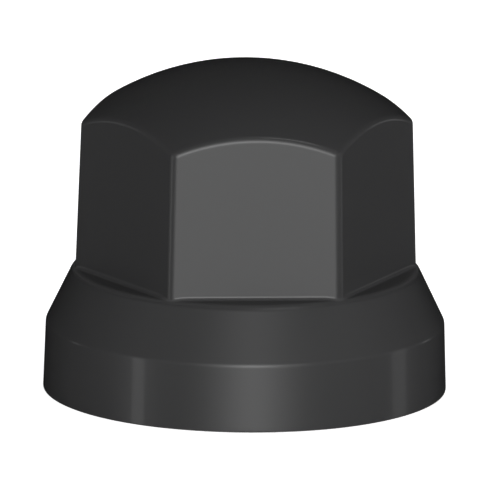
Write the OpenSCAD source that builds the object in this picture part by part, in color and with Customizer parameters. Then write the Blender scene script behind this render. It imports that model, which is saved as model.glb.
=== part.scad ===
// Push-on cover cap for a flanged truck wheel nut, moulded in one piece.
// The origin is the centre of the open rim, which lies in the XY plane, and the cap opens downward.
// Two of the six flats face along Y, and the corners of the hexagon lie at every 60 degrees from X.

/* [Nut that it covers] */
// Width across the flats of the wheel nut
nut_af = 32; // [30:0.5:33]
// Diameter of the nut's flange, which the skirt goes over
flange_d = 46; // [45:0.5:48]
// Gap all round between the flange and the skirt
flange_gap = 1; // [0.5:0.25:1.5]

/* [Wall] */
// Thickness of the moulded wall
wall = 2; // [1.5:0.1:2.4]

/* [Skirt] */
// Height of the upright band at the rim
band_h = 8.8; // [7:0.2:11]
// Lean of the band's outside, in degrees
band_draft = 1.7; // [0.5:0.1:2]
// Height of the cone between the band and the ledge
shoulder_h = 7.2; // [6:0.2:9]
// Width of the flat ledge beyond the middle of each flat, up to the sharp edge
ledge_w = 3.05; // [2.8:0.05:3.4]
// Chamfer inside the mouth of the skirt
mouth_chamfer = 0.5; // [0.3:0.1:0.8]

/* [Crown] */
// Height of the crown above the ledge, up to the top of the dome
crown_h = 26.8; // [24:0.2:30]
// Radius of the dome
dome_r = 34.5; // [31:0.5:42]
// Lean of each flat, in degrees
hex_draft = 1.5; // [0.5:0.1:2]

/* [Edges] */
// Radius of the six upright edges
corner_r = 1.3; // [0.8:0.1:1.6]
// Radius of the edges between the dome and the flats
dome_edge_r = 1.1; // [0.8:0.1:1.4]
// Radius of the edge between the band and the cone
band_edge_r = 1.4; // [0.8:0.1:2]
// Radius of the outer edge of the ledge
ledge_edge_r = 1.2; // [0.6:0.1:1.4]
// Radius in the corners of the hollow
inner_r = 0.8; // [0.5:0.1:1]

/* [Grip ribs] */
// Height of each rib above the wall of the socket, at the nut's size
rib_h = 1.25; // [1:0.05:1.4]
// How far each rib bites into the nut's size
rib_grip = 0.1; // [0:0.05:0.2]
// Distance between the two ribs of a flat
rib_pitch = 9; // [6:0.5:11]
// Height of the cone that each rib starts with
rib_lead = 3; // [2:0.5:5]

/* [Hidden] */
$fn = 64;

// How far a cutting shape stands beyond what it cuts
over = 1;
// A rounding is cut by a circle this much larger than the tangent one, so that it crosses its neighbours
cross = 1.003;
// Number of flats, and the angle between two of them
flats = 6;
step = 360 / flats;

// The skirt, from the flange that it goes over
bore_r = flange_d / 2 + flange_gap;
rim_r = bore_r + wall;
band_top_r = rim_r - band_h * tan(band_draft);
ledge_z = band_h + shoulder_h;

// The crown, from the nut that it grips
socket_a = nut_af / 2 + rib_h;
crown_a = socket_a + wall;
ledge_r = crown_a + ledge_w;
dome_z = ledge_z + crown_h - dome_r;
corner_lean = atan(tan(hex_draft) / cos(step / 2));

// The hollow of the skirt follows the outside at the wall's thickness
cone_angle = atan((band_top_r - ledge_r) / shoulder_h);
cone_wall = wall / cos(cone_angle);
hollow_z = ledge_z - wall;
bore_h = band_h + (band_top_r - cone_wall - bore_r) / tan(cone_angle);
hollow_top_r = bore_r - (hollow_z - bore_h) * tan(cone_angle);

// The ribs
rib_r = rib_h + rib_grip;
rib_tip_r = rib_r / 4;

function unit(v) = v / norm(v);

// The sliver of a profile that lies outside an arc, between the two points where the arc starts and ends
module sliver(centre, foot_a, foot_b) {
    middle = (foot_a + foot_b) / 2;
    outward = middle - centre;
    half_w = norm(foot_a - foot_b) / 2 + over;
    difference() {
        translate(middle)
            rotate(atan2(outward[1], outward[0]))
                translate([0, -half_w])
                    square([half_w, 2 * half_w]);
        translate(centre)
            circle(r = norm(foot_a - centre) * cross);
    }
}

// The same for a straight-sided corner at p, whose sides run towards a and b
module corner_sliver(p, a, b, r) {
    to_a = unit(a - p);
    to_b = unit(b - p);
    half = acos(to_a * to_b) / 2;
    centre = p + unit(to_a + to_b) * r / sin(half);
    sliver(centre, p + to_a * r / tan(half), p + to_b * r / tan(half));
}

// Everything outside one flat of the hexagon, at distance a from the axis where the ledge is
module beyond_flat(a) {
    size = 2 * (crown_h + dome_r);
    translate([a, 0, ledge_z])
        rotate([0, -hex_draft, 0])
            translate([0, -size / 2, -size / 2])
                cube(size);
}

// What rounding the upright edge at angle 0 takes away
module upright_edge(a, r) {
    length = 2 * (crown_h + wall + over);
    side = [cos(step), sin(step)];
    translate([a / cos(step / 2), 0, ledge_z])
        rotate([0, -corner_lean, 180])
            translate([0, 0, -length / 2])
                linear_extrude(length)
                    corner_sliver([0, 0], side, [side[0], -side[1]], r);
}

// What rounding the edge between the dome and one flat takes away: a ring about the flat's normal
module dome_edge(a, dome, r) {
    flat_a = a * cos(hex_draft) + (ledge_z - dome_z) * sin(hex_draft);
    centre = [sqrt(pow(dome - r, 2) - pow(flat_a - r, 2)), flat_a - r];
    translate([0, 0, dome_z])
        rotate([0, 90 - hex_draft, 0])
            rotate_extrude()
                sliver(centre, [centre[0], flat_a], centre * dome / (dome - r));
}

// Six leaning flats under a dome, with every edge rounded, from height base_z up
// One flat is cut at a time, each from what the flats before it have left
module hex_dome(a, dome, upright_r, edge_r, base_z, count = flats) {
    if (count == 0) {
        intersection() {
            translate([0, 0, dome_z])
                sphere(r = dome);
            translate([-dome, -dome, base_z])
                cube(2 * dome);
        }
    } else {
        difference() {
            hex_dome(a, dome, upright_r, edge_r, base_z, count - 1);
            rotate([0, 0, (count - 0.5) * step]) {
                beyond_flat(a);
                dome_edge(a, dome, edge_r);
            }
            if (count == flats)
                for (i = [1 : flats])
                    rotate([0, 0, i * step])
                        upright_edge(a, upright_r);
        }
    }
}

// Outside of the skirt: the band, the cone and the ledge
module skirt() {
    rim = [rim_r, 0];
    band_top = [band_top_r, band_h];
    ledge = [ledge_r, ledge_z];
    middle = [0, ledge_z];
    rotate_extrude()
        difference() {
            polygon([[0, 0], rim, band_top, ledge, middle]);
            corner_sliver(band_top, rim, ledge, band_edge_r);
            corner_sliver(ledge, band_top, middle, ledge_edge_r);
        }
}

// Hollow of the skirt: the bore, the cone and the underside of the ledge
module skirt_hollow() {
    bore_top = [bore_r, bore_h];
    ceiling = [hollow_top_r, hollow_z];
    middle = [0, hollow_z];
    rotate_extrude()
        difference() {
            polygon([[0, -over], [bore_r, -over], bore_top, ceiling, middle]);
            corner_sliver(ceiling, bore_top, middle, inner_r);
        }
}

// Cone that leads the skirt over the flange
module mouth() {
    translate([0, 0, -over])
        cylinder(h = mouth_chamfer + over, r1 = bore_r + mouth_chamfer + over, r2 = bore_r);
}

// Cone that leads the nut's corners into the socket
module socket_lead() {
    translate([0, 0, hollow_z - over])
        cylinder(h = wall + over, r1 = socket_a + wall + over / 2, r2 = socket_a - over / 2);
}

// One half-round grip rib, which starts as a cone and runs up into the dome
module rib() {
    translate([0, 0, ledge_z])
        cylinder(h = rib_lead, r1 = rib_tip_r, r2 = rib_r);
    translate([0, 0, ledge_z + rib_lead])
        cylinder(h = crown_h, r = rib_r);
}

// Ribs in pairs, one pair on each flat of the socket
module ribs() {
    for (i = [0 : flats - 1], side = [-1, 1])
        rotate([0, 0, (i + 0.5) * step])
            translate([socket_a, side * rib_pitch / 2, 0])
                rib();
}

// The whole hollow, from the rim up to the underside of the dome
module hollow() {
    skirt_hollow();
    mouth();
    socket_lead();
    difference() {
        hex_dome(socket_a, dome_r - wall, inner_r, inner_r, hollow_z - over);
        ribs();
    }
}

module cap() {
    color("#343435")
        difference() {
            union() {
                skirt();
                hex_dome(crown_a, dome_r, corner_r, dome_edge_r, ledge_z - wall / 2);
            }
            hollow();
        }
}

cap();
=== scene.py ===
import math
import bmesh
import bpy
from mathutils import Euler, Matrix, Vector


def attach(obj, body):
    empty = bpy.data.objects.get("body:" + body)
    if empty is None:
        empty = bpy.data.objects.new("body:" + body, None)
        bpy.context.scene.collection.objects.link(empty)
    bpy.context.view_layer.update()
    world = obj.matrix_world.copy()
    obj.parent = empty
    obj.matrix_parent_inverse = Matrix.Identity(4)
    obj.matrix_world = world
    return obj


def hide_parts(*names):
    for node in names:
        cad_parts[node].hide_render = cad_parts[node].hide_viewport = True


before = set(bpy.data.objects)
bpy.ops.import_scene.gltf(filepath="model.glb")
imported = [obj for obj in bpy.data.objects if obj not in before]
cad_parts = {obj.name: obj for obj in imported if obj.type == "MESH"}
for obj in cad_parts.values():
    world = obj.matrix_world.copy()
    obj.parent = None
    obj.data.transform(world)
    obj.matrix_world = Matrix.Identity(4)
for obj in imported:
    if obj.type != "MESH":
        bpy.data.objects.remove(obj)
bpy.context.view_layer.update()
bpy.ops.object.select_all(action="DESELECT")


# Cap
# One injection moulding of black polypropylene: a domed hexagonal crown on a round skirt, hollow from
# below, which is pushed over a flanged wheel nut and held by ribs. The shell is drawn out ring by ring,
# from the top of the dome down the outside, round the rim and up the hollow to the end of the socket.

# The nut that it covers, and the wall
nut_across = 0.032
flange_across = 0.046
flange_gap = 0.001
wall = 0.002

# The skirt
band_height = 0.0088
band_lean = math.radians(1.7)
shoulder_height = 0.0072
ledge_width = 0.00305
mouth_chamfer = 0.0005

# The crown
crown_height = 0.0268
dome_radius = 0.0345
flat_lean = math.radians(1.5)

# The edges
corner_radius = 0.0013
dome_edge_radius = 0.0011
band_edge_radius = 0.0014
ledge_edge_radius = 0.0012
foot_radius = 0.0005
rim_radius = 0.00015
inner_radius = 0.0008

# The grip ribs in the socket
rib_height = 0.00125
rib_grip = 0.0001
rib_pitch = 0.009
rib_lead = 0.003

sides = 6
half_side = math.pi / sides
bore = flange_across / 2 + flange_gap
rim = bore + wall
band_top = rim - band_height * math.tan(band_lean)
ledge_z = band_height + shoulder_height
socket_apothem = nut_across / 2 + rib_height
crown_apothem = socket_apothem + wall
ledge_reach = crown_apothem + ledge_width
dome_middle = Vector((0, 0, ledge_z + crown_height - dome_radius))
cone_lean = math.atan((band_top - ledge_reach) / shoulder_height)
hollow_z = ledge_z - wall
bore_height = band_height + (band_top - wall / math.cos(cone_lean) - bore) / math.tan(cone_lean)
hollow_top = bore - (hollow_z - bore_height) * math.tan(cone_lean)


def heading(angle, rise=0.0):
    """Unit vector at an angle about the axis, tilted up by a rise."""
    level = math.cos(rise)
    return Vector((math.cos(angle) * level, math.sin(angle) * level, math.sin(rise)))


# Stations go once round the hexagon: some round each corner, then along the flat to the next corner,
# where they crowd towards its ends. Each knows its side, how far along it is, and where the wall faces.
corner_steps = 8
flat_steps = 44
stations = []
for side in range(sides):
    for i in range(corner_steps + 1):
        stations.append((side, 0.0, half_side * (2 * side + 2 * i / corner_steps - 1)))
    for i in range(1, flat_steps):
        along = 0.5 - 0.5 * math.cos(math.pi * i / flat_steps)
        stations.append((side, along, half_side * (2 * side + 1)))

# A round ring has as many points, evenly spaced
turns = [2 * math.pi * (i - corner_steps / 2) / len(stations) for i in range(len(stations))]


def on_wall(station, height, apothem, radius):
    """Point of the leaning hexagonal wall at a height, and the way that the wall faces there."""
    side, along, facing = station
    reach = (apothem - (height - ledge_z) * math.tan(flat_lean) - radius) / math.cos(half_side)
    middle = heading(2 * half_side * side).lerp(heading(2 * half_side * (side + 1)), along)
    outward = heading(facing)
    point = middle * reach + outward * radius
    point.z = height
    lean = Vector((0, 0, math.tan(flat_lean) / math.cos(half_side) * middle.dot(outward)))
    return point, (outward + lean).normalized()


def height_where(test, low, high, halvings=40):
    """Height between two heights at which a test turns from false to true."""
    for _ in range(halvings):
        middle = (low + high) / 2
        low, high = (low, middle) if test(middle) else (middle, high)
    return low


def dome_edge(apothem, dome, upright_radius, radius, steps):
    """Rings of the fillet between dome and flats, as a ball leaves them that rolls inside both."""
    balls = []
    for station in stations:

        def ball(height):
            point, normal = on_wall(station, height, apothem, upright_radius)
            return point - radius * normal, normal

        def past_dome(height):
            return (ball(height)[0] - dome_middle).length > dome - radius

        middle, normal = ball(height_where(past_dome, ledge_z, dome_middle.z + dome))
        balls.append((middle, (middle - dome_middle).normalized(), normal))
    rings = []
    for i in range(steps + 1):
        rings.append([middle + radius * up.slerp(out, i / steps) for middle, up, out in balls])
    return rings


def dome_rings(edge, dome, shares):
    """Rings of the dome that share the outline of its edge, each at a share of its reach."""
    rings = []
    for share in shares:
        ring = []
        for point in edge:
            flat = Vector((point.x, point.y, 0)) * share
            rise = dome_middle.z + math.sqrt(dome**2 - flat.length_squared)
            ring.append(flat + Vector((0, 0, rise)))
        rings.append(ring)
    return rings


# The ledge's outer edge is rounded about this circle
rounding_r = ledge_reach - ledge_edge_radius * math.tan((math.pi / 2 - cone_lean) / 2)
rounding_z = ledge_z - ledge_edge_radius


def on_ledge(run):
    """Radius and height at a distance along the outside, from where the ledge starts to round down."""
    turn = min(max(run / ledge_edge_radius, 0), math.pi / 2 - cone_lean)
    past = run - ledge_edge_radius * turn
    lean = math.pi / 2 if past < 0 else cone_lean
    return (
        rounding_r + ledge_edge_radius * math.sin(turn) + past * math.sin(lean),
        rounding_z + ledge_edge_radius * math.cos(turn) - past * math.cos(lean),
    )


def foot_fillet(steps):
    """Rings of the hollow fillet at the foot of the flats, as a ball leaves them that rolls outside.

    With them comes where the ball touches the ledge: at what angle, and how far along the outside."""
    balls = []
    touches = []
    for station in stations:

        def ball(height):
            point, normal = on_wall(station, height, crown_apothem, corner_radius)
            return point + foot_radius * normal, normal

        def clear(height):
            middle = ball(height)[0]
            beyond = math.hypot(middle.x, middle.y) - rounding_r
            if beyond < 0:
                return middle.z > ledge_z + foot_radius
            return math.hypot(beyond, middle.z - rounding_z) > ledge_edge_radius + foot_radius

        middle, normal = ball(height_where(clear, hollow_z, ledge_z + wall))
        angle = math.atan2(middle.y, middle.x)
        beyond = math.hypot(middle.x, middle.y) - rounding_r
        tilt = math.atan2(max(beyond, 0), middle.z - rounding_z)
        balls.append((middle, normal, heading(angle, math.pi / 2 - tilt)))
        touches.append((angle, min(beyond, 0) + ledge_edge_radius * tilt))
    rings = []
    for i in range(steps + 1):
        rings.append([middle - foot_radius * out.slerp(up, i / steps) for middle, out, up in balls])
    return rings, touches


def between(start, end, shares):
    """Rings that lie at shares of the way from one ring to another."""
    return [[a.lerp(b, share) for a, b in zip(start, end)] for share in shares]


def turned(radius, height):
    """A round ring."""
    return [heading(turn) * radius + Vector((0, 0, height)) for turn in turns]


def turned_fillet(before, corner, after, radius, steps):
    """Round rings that round off the corner of a turned profile."""
    before, corner, after = (Vector(p) for p in (before, corner, after))
    to_before = (before - corner).normalized()
    to_after = (after - corner).normalized()
    half = to_before.angle(to_after) / 2
    inward = (to_before + to_after).normalized() / math.sin(half)
    first = to_before / math.tan(half) - inward
    last = to_after / math.tan(half) - inward
    rings = []
    for i in range(steps + 1):
        spot = corner + radius * (inward + first.slerp(last, i / steps))
        rings.append(turned(spot.x, spot.y))
    return rings


# The crown: the fillet round the dome, the dome within it, the flats and the fillet at their foot.
# On the way from one fillet to the next, the first and last rings keep close to the fillets, so that
# the shading of the rounded edge stays on it.
dome_shares = [0.04, 0.12, 0.2, 0.28, 0.36, 0.44, 0.52, 0.6, 0.68, 0.76, 0.84, 0.91, 0.96, 0.985, 0.995]
flat_shares = [0.006, 0.2, 0.4, 0.6, 0.8, 0.994]
top_edge = dome_edge(crown_apothem, dome_radius, corner_radius, dome_edge_radius, steps=8)
foot, touches = foot_fillet(steps=6)
crown = dome_rings(top_edge[0], dome_radius, dome_shares) + top_edge
crown += between(top_edge[-1], foot[0], flat_shares) + foot

# The ledge and its rounded edge. Its rings gather from the hexagon into circles as they run down to a
# little way on to the cone.
ledge_steps = 22
on_to_cone = 0.0004
ledge_end = ledge_edge_radius * (math.pi / 2 - cone_lean) + on_to_cone
ledge = []
for i in range(1, ledge_steps + 1):
    share = i / ledge_steps
    ring = []
    for (angle, start), turn in zip(touches, turns):
        swing = (turn - angle + math.pi) % (2 * math.pi) - math.pi
        radius, height = on_ledge(start + (ledge_end - start) * share)
        ring.append(heading(angle + swing * share) * radius + Vector((0, 0, height)))
    ledge.append(ring)

# The cone, the band and the rim
skirt_shares = [0.03, 0.25, 0.5, 0.75, 0.97]
band_corner = (band_top, band_height)
band_edge = turned_fillet(on_ledge(ledge_end), band_corner, (rim, 0), band_edge_radius, steps=6)
rim_edge = turned_fillet(band_corner, (rim, 0), (bore, 0), rim_radius, steps=4)
skirt = between(ledge[-1], band_edge[0], skirt_shares) + band_edge
skirt += between(band_edge[-1], rim_edge[0], skirt_shares) + rim_edge

# The hollow of the skirt, with its chamfered mouth
ceiling_corner = (hollow_top, hollow_z)
ceiling = turned_fillet((bore, bore_height), ceiling_corner, (0, hollow_z), inner_radius, steps=5)
bore_start = turned(bore, mouth_chamfer)
bore_end = turned(bore, bore_height)
hollow = [turned(bore + mouth_chamfer, 0), bore_start]
hollow += between(bore_start, bore_end, [0.5, 1])
hollow += between(bore_end, ceiling[0], [0.5, 0.97]) + ceiling

# The socket: a cone leads the nut in to the flats, which end in a fillet under the dome. The cone
# narrows by as much as it rises, and at the corners, which stand past it, it has its least height.
lead_inset = 0.0005
lead_least = 0.0001
lead_reach = socket_apothem + wall - lead_inset
lead_mouth = []
lead_end = []
for station in stations:

    def socket_wall(height):
        return on_wall(station, height, socket_apothem, inner_radius)[0]

    def past_lead(height):
        point = socket_wall(height)
        return math.hypot(point.x, point.y) > lead_reach - (height - hollow_z)

    low = socket_wall(hollow_z)
    out = Vector((low.x, low.y, 0))
    out.length = max(out.length, lead_reach)
    lead_mouth.append(out + Vector((0, 0, hollow_z)))
    lead_end.append(socket_wall(height_where(past_lead, hollow_z + lead_least, ledge_z)))
inner_dome = dome_radius - wall
socket_shares = [0.01, 0.25, 0.5, 0.75, 0.99]
inner_dome_shares = [0.97, 0.8, 0.6, 0.4, 0.2, 0.05]
socket_edge = dome_edge(socket_apothem, inner_dome, inner_radius, inner_radius, steps=5)[::-1]
socket = between(ceiling[-1], lead_mouth, [0.5, 1]) + [lead_end]
socket += between(lead_end, socket_edge[0], socket_shares) + socket_edge
socket += dome_rings(socket_edge[-1], inner_dome, inner_dome_shares)

# A small disc at the top of the dome is drawn out along the rings and closed at the end of the socket.
# Each point of its outline is numbered by its station, and the points drawn out of it keep the number.
bpy.ops.mesh.primitive_circle_add(vertices=len(stations), fill_type="TRIFAN")
cap = bpy.context.object
cap.name = "cap_shell"
bpy.ops.object.mode_set(mode="EDIT")
mesh = bmesh.from_edit_mesh(cap.data)
number = mesh.verts.layers.int.new("station")
outline = []
for vertex in mesh.verts:
    if vertex.is_boundary:
        outline.append(vertex)
    else:
        vertex.co = dome_middle + Vector((0, 0, dome_radius))
outline.sort(key=lambda vertex: math.atan2(vertex.co.y, vertex.co.x) % (2 * math.pi))
for i, vertex in enumerate(outline):
    vertex[number] = i
    vertex.co = crown[0][i]
bpy.ops.mesh.select_mode(type="EDGE")
bpy.ops.mesh.select_all(action="DESELECT")
mesh = bmesh.from_edit_mesh(cap.data)
for edge in mesh.edges:
    edge.select_set(edge.is_boundary)
for ring in crown[1:] + ledge + skirt + hollow + socket:
    bpy.ops.mesh.extrude_region_move()
    mesh = bmesh.from_edit_mesh(cap.data)
    number = mesh.verts.layers.int["station"]
    for vertex in mesh.verts:
        if vertex.select:
            vertex.co = ring[vertex[number]]
bpy.ops.mesh.merge(type="CENTER")
mesh = bmesh.from_edit_mesh(cap.data)
for vertex in mesh.verts:
    if vertex.select:
        vertex.co = dome_middle + Vector((0, 0, inner_dome))
bmesh.update_edit_mesh(cap.data)
bpy.ops.mesh.select_all(action="SELECT")
bpy.ops.mesh.normals_make_consistent(inside=False)
bpy.ops.object.mode_set(mode="OBJECT")
bpy.ops.object.select_all(action="DESELECT")

# Two half-round ribs grip each side of the nut. One is drawn up from its pointed foot until it is sunk
# in the dome. A copy stands beside it, and copies of the pair are turned round to the other sides.
# With no window, rotate turns the other way, so its angles are negative.
rib_steps = 32
rib_taper = 4
rib_sunk = 0.00006
rib_radius = rib_height + rib_grip
rib_inside = math.hypot(socket_apothem - rib_radius, rib_pitch / 2)
rib_end = dome_middle.z + math.sqrt(inner_dome**2 - rib_inside**2) + rib_sunk
rib_foot = Vector((socket_apothem, -rib_pitch / 2, ledge_z))
bpy.ops.mesh.primitive_circle_add(vertices=rib_steps, radius=rib_radius / rib_taper,
                                  fill_type="NGON", location=rib_foot)
ribs = bpy.context.object
bpy.ops.object.mode_set(mode="EDIT")
bpy.ops.mesh.extrude_region_move(TRANSFORM_OT_translate={"value": (0, 0, rib_lead)})
bpy.ops.transform.resize(value=(rib_taper, rib_taper, 1),
                         center_override=rib_foot + Vector((0, 0, rib_lead)))
bpy.ops.mesh.extrude_region_move(
    TRANSFORM_OT_translate={"value": (0, 0, rib_end - ledge_z - rib_lead)})
bpy.ops.mesh.select_all(action="SELECT")
bpy.ops.mesh.normals_make_consistent(inside=False)
bpy.ops.mesh.duplicate_move(TRANSFORM_OT_translate={"value": (0, rib_pitch, 0)})
bpy.ops.mesh.select_all(action="SELECT")
bpy.ops.transform.rotate(value=-half_side, orient_axis="Z", center_override=(0, 0, 0))
for _ in range(sides - 1):
    bpy.ops.mesh.duplicate()
    bpy.ops.transform.rotate(value=-2 * half_side, orient_axis="Z", center_override=(0, 0, 0))
bpy.ops.object.mode_set(mode="OBJECT")
bpy.context.view_layer.objects.active = cap
weld = cap.modifiers.new("ribs", "BOOLEAN")
weld.operation = "UNION"
weld.solver = "EXACT"
weld.object = ribs
bpy.ops.object.modifier_apply(modifier=weld.name)
bpy.data.objects.remove(ribs)
bpy.ops.object.select_all(action="DESELECT")
cap.select_set(True)
smooth_up_to = math.radians(28)
bpy.ops.object.shade_smooth_by_angle(angle=smooth_up_to)


class Wire:
    """An output of a node. Arithmetic on it adds Math nodes, and node() adds any other node."""

    def __init__(self, tree, socket=None):
        self.tree = tree
        self.socket = socket

    def node(self, kind, settings=None, inputs=None, output=0):
        made = self.tree.nodes.new(kind)
        for name, value in (settings or {}).items():
            setattr(made, name, value)
        for name, value in (inputs or {}).items():
            if isinstance(value, Wire):
                self.tree.links.new(value.socket, made.inputs[name])
            else:
                made.inputs[name].default_value = value
        return Wire(self.tree, made.outputs[output] if made.outputs else None)

    def _maths(self, operation, first, second):
        return self.node("ShaderNodeMath", {"operation": operation}, {0: first, 1: second})

    def __add__(self, other):
        return self._maths("ADD", self, other)

    def __radd__(self, other):
        return self._maths("ADD", other, self)

    def __sub__(self, other):
        return self._maths("SUBTRACT", self, other)

    def __rsub__(self, other):
        return self._maths("SUBTRACT", other, self)

    def __mul__(self, other):
        return self._maths("MULTIPLY", self, other)

    def __rmul__(self, other):
        return self._maths("MULTIPLY", other, self)


def new_material(name):
    """An empty material, with the wire that its nodes start from."""
    material = bpy.data.materials.new(name)
    material.use_nodes = True
    material.node_tree.nodes.clear()
    return material, Wire(material.node_tree)


# Black polypropylene from a finely spark-eroded mould: a low satin gloss, with a grain of about a
# fifth of a millimetre, and a faint unevenness of colour and gloss where the melt flowed. The flat of
# the ledge is duller, as where no tool gets into a corner of the mould to polish it.
darker = (0.0330, 0.0330, 0.0337, 1)
lighter = (0.0350, 0.0350, 0.0357, 1)
grains_per_m = 4200.0
flows_per_m = 90.0
grain_depth = 0.000012
dull_middle = ledge_z - 0.00005
dull_near = 0.0002
dull_far = 0.0003
satin = 0.32
flow_roughness = 0.05
dull_roughness = 0.35
coat = 0.6

plastic, start = new_material("black_plastic")
place = start.node("ShaderNodeTexCoord", output="Object")
grain = start.node("ShaderNodeTexNoise", None,
                   {"Vector": place, "Scale": grains_per_m, "Detail": 2.0, "Roughness": 0.5})
flow = start.node("ShaderNodeTexNoise", None,
                  {"Vector": place, "Scale": flows_per_m, "Detail": 3.0, "Roughness": 0.5})
shade = start.node("ShaderNodeMix", {"data_type": "RGBA"}, {0: flow, 6: darker, 7: lighter}, output=2)
bump = start.node("ShaderNodeBump", None,
                  {"Strength": 0.3, "Distance": grain_depth, "Height": grain})
height = start.node("ShaderNodeSeparateXYZ", None, {"Vector": place}, output="Z")
off = start.node("ShaderNodeMath", {"operation": "ABSOLUTE"}, {0: height - dull_middle})
dull = start.node("ShaderNodeMapRange", {"interpolation_type": "SMOOTHSTEP"},
                  {"Value": off, "From Min": dull_near, "From Max": dull_far,
                   "To Min": 1.0, "To Max": 0.0})
surface = start.node("ShaderNodeBsdfPrincipled", None, {
    "Base Color": shade,
    "Roughness": satin + flow_roughness * flow + dull_roughness * dull,
    "IOR": 1.5,
    "Specular IOR Level": 1.0,
    "Coat Weight": coat - coat * dull,
    "Coat Roughness": 0.09,
    "Normal": bump,
})
start.node("ShaderNodeOutputMaterial", None, {"Surface": surface})
cap.data.materials.clear()
cap.data.materials.append(plastic)

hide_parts("cap")
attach(cap, "root")


# Camera
# It looks from a long way off, so without perspective, a little down and from a little to the left of
# the middle of the near flat.
picture_px = 500
px_per_m = 7747.6
camera_turn = math.radians(-3.7467)
camera_rise = math.radians(13.2262)
camera_roll = math.radians(0.5624)
aim_right = 0.00071643
aim_up = 0.01767283
camera_distance = 0.6

bpy.ops.object.camera_add()
camera = bpy.context.object
turn = Euler((0, 0, camera_turn)).to_matrix()
tilt = Euler((math.pi / 2 - camera_rise, 0, 0)).to_matrix()
roll = Euler((0, 0, camera_roll)).to_matrix()
look = turn @ tilt @ roll
camera.rotation_euler = look.to_euler()
camera.location = look @ Vector((aim_right, aim_up, camera_distance))
camera.data.type = "ORTHO"
camera.data.ortho_scale = picture_px / px_per_m
camera.data.clip_start = 0.01
camera.data.clip_end = 20
bpy.context.scene.camera = camera


# Table
# A white lacquered top that the rim stands on. Where no shadow falls on it, it is pure white to the
# camera. From below it is clear, so that the hollow of the cap shows in views from below.
table_width = 6
table_drop = 0.00002
lacquer_white = 0.8
table_glow = 0.70

bpy.ops.mesh.primitive_plane_add(size=table_width, location=(0, 0, -table_drop))
table = bpy.context.object
table.name = "table"
white, start = new_material("table_white")
seen = start.node("ShaderNodeLightPath", output="Is Camera Ray")
lacquer = start.node("ShaderNodeBsdfDiffuse", None,
                     {"Color": (lacquer_white, lacquer_white, lacquer_white, 1)})
glow = start.node("ShaderNodeEmission", None, {"Color": (1, 1, 1, 1), "Strength": table_glow * seen})
top = start.node("ShaderNodeAddShader", None, {0: lacquer, 1: glow})
below = start.node("ShaderNodeNewGeometry", output="Backfacing")
clear = start.node("ShaderNodeBsdfTransparent")
both = start.node("ShaderNodeMixShader", None, {0: below, 1: top, 2: clear})
start.node("ShaderNodeOutputMaterial", None, {"Surface": both})
table.data.materials.append(white)
table.visible_glossy = False


# Room
# It is white to the camera, and a dim even grey to everything else. Neither it nor the table shows in
# the plastic's gloss, which mirrors dark surroundings and soft lamps, as the real cap's does.
room_light = 0.35

world = bpy.data.worlds.new("room")
bpy.context.scene.world = world
world.use_nodes = True
world.node_tree.nodes.clear()
start = Wire(world.node_tree)
seen = start.node("ShaderNodeLightPath", output="Is Camera Ray")
sky = start.node("ShaderNodeBackground", None, {
    "Color": (1, 1, 1, 1),
    "Strength": room_light + (1 - room_light) * seen,
})
start.node("ShaderNodeOutputWorld", None, {"Surface": sky})
world.cycles_visibility.glossy = False


# Lamps
# Soft boxes that stand far off round the cap. Those that its gloss mirrors draw the bright flat and the
# light lines along its edges, and the fills light only the colour of the plastic.
lamp_aim = Vector((0, 0, 0.02))


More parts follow.
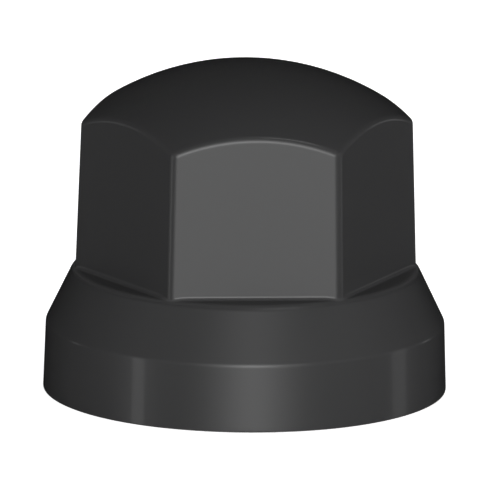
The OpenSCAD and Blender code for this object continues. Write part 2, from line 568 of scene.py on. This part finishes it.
def soft_box(name, angle, rise, wide, high, radiance, fade=None, distance=1.5):
    """A lamp that faces the cap. Where it stands and how large it looks from there are in degrees.

    The angle is about the cap's axis, from the front to the right. A lamp with a fade is brightest in
    its middle and falls off as a bell curve, as behind a real diffuser."""
    away = heading(math.radians(angle - 90), math.radians(rise))
    bpy.ops.object.light_add(type="AREA", location=lamp_aim + away * distance)
    lamp = bpy.context.object
    lamp.name = name
    lamp.rotation_euler = away.to_track_quat("Z", "Y").to_euler()
    lamp.data.shape = "RECTANGLE"
    lamp.data.size = 2 * distance * math.tan(math.radians(wide / 2))
    lamp.data.size_y = 2 * distance * math.tan(math.radians(high / 2))
    lamp.data.energy = radiance * math.pi * lamp.data.size * lamp.data.size_y
    lamp.visible_camera = False
    if fade:
        lamp.data.use_nodes = True
        lamp.data.node_tree.nodes.clear()
        start = Wire(lamp.data.node_tree)
        spot = start.node("ShaderNodeNewGeometry", output="Parametric")
        spot = start.node("ShaderNodeVectorMath", {"operation": "SUBTRACT"},
                          {0: spot, 1: (0.5, 0.5, 0)})
        spot = start.node("ShaderNodeVectorMath", {"operation": "MULTIPLY"},
                          {0: spot, 1: (lamp.data.size, lamp.data.size_y, 0)})
        off = start.node("ShaderNodeVectorMath", {"operation": "LENGTH"}, {0: spot}, output="Value")
        spread = distance * math.tan(math.radians(fade))
        power = -0.5 / spread**2 * off * off
        bell = start.node("ShaderNodeMath", {"operation": "EXPONENT"}, {0: power})
        shine = start.node("ShaderNodeEmission", None, {"Color": (1, 1, 1, 1), "Strength": bell})
        start.node("ShaderNodeOutputLight", None, {"Surface": shine})
    return lamp


# The key lamp by the camera is a bright core in a wide halo. The halo stands a little behind the core,
# because of two lamps in one place the gloss shows only one.
soft_box("key_core", 1, 8, 48, 48, 1.62, fade=8)
soft_box("key_halo", 1, 8, 80, 80, 1.03, fade=16, distance=1.6)

# Small lamps that draw the light lines
for name, angle, rise, wide, high, radiance in (
    ("left_strip", -67, -5, 8, 34, 0.7),
    ("right_strip", 96, -5, 12, 34, 0.3),
    ("overhead_strip", 35, 65, 20, 5, 1.8),
    ("left_foot_strip", -116, 0, 8, 8, 0.4),
    ("right_foot_strip", 123, 0, 8, 8, 0.4),
):
    soft_box(name, angle, rise, wide, high, radiance)

# The lamp under the table lights the hollow, and only the cap casts a shadow in its light
under = soft_box("under", 0, -90, 40, 40, 5.0)
casters = bpy.data.collections.new("casters")
casters.objects.link(cap)
under.light_linking.blocker_collection = casters

# The fills, which the gloss doesn't show
fill_width = 40
for name, angle, rise, radiance in (
    ("front_fill", 0, 20, 2.0),
    ("left_fill", -60, 10, 2.1),
    ("right_fill", 60, 10, 3.95),
    ("back_fill", 180, 5, 9.0),
):
    fill = soft_box(name, angle, rise, fill_width, fill_width, radiance)
    fill.visible_glossy = False

bpy.context.scene.view_settings.view_transform = "Standard"
